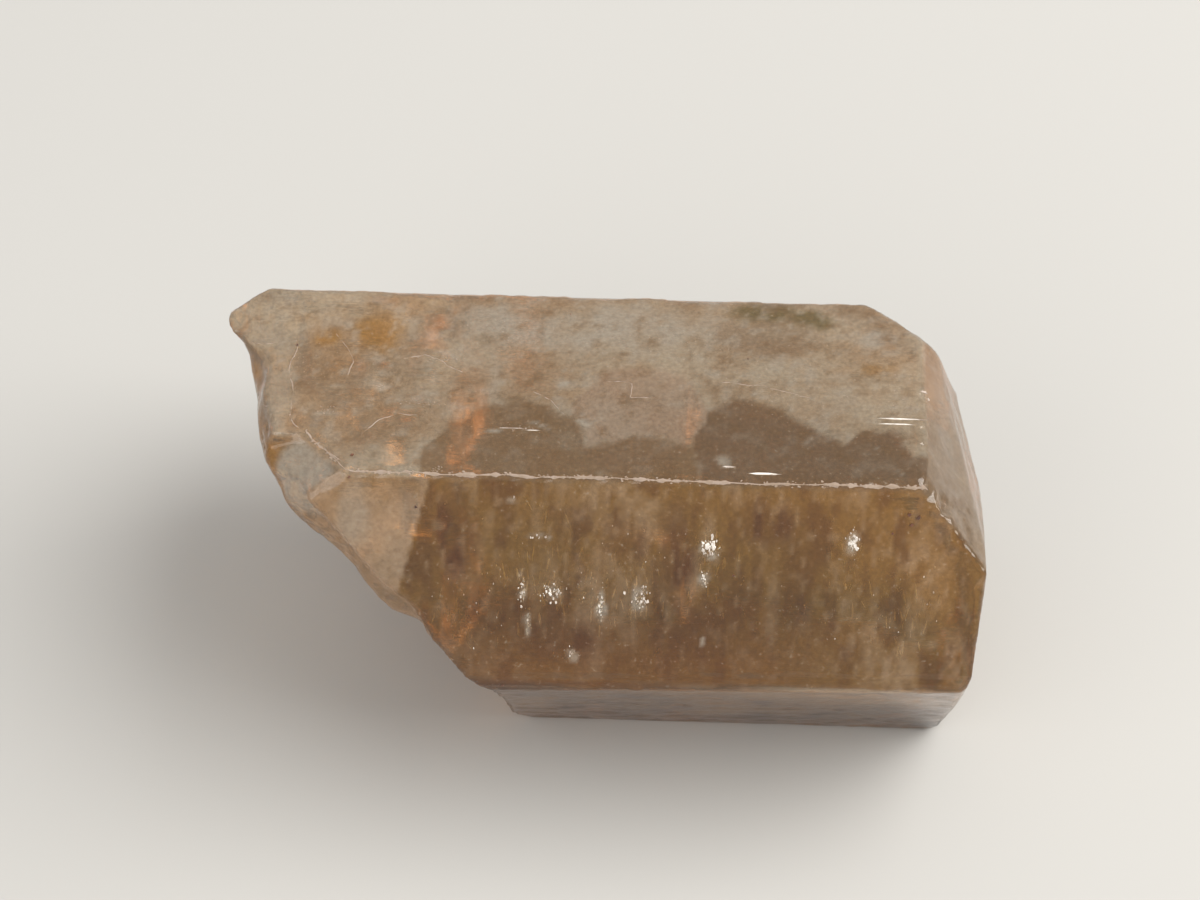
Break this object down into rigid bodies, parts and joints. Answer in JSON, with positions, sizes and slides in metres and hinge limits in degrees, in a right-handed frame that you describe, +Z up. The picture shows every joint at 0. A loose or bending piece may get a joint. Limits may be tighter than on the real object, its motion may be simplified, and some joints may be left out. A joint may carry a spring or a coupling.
{
  "type": "pink apatite crystal",
  "caption": "Brownish pink, see-through apatite crystal lying on a prism face, with a faceted natural end and an undercut broken end.",
  "frame": {"origin": "bottom centre of the bounding box, on the surface that the crystal lies on", "axes": "+X along the crystal's long axis towards its faceted natural end, +Z up out of the prism face it lies on, -Y towards the front prism face"},
  "size_m": [0.0248, 0.0154, 0.0131],
  "materials": {
    "stone": "glossy, see-through, with haze and small fractures inside"
  },
  "bodies": {
    "root": {"apatite_crystal": "stone"}
  },
  "joints": []
}
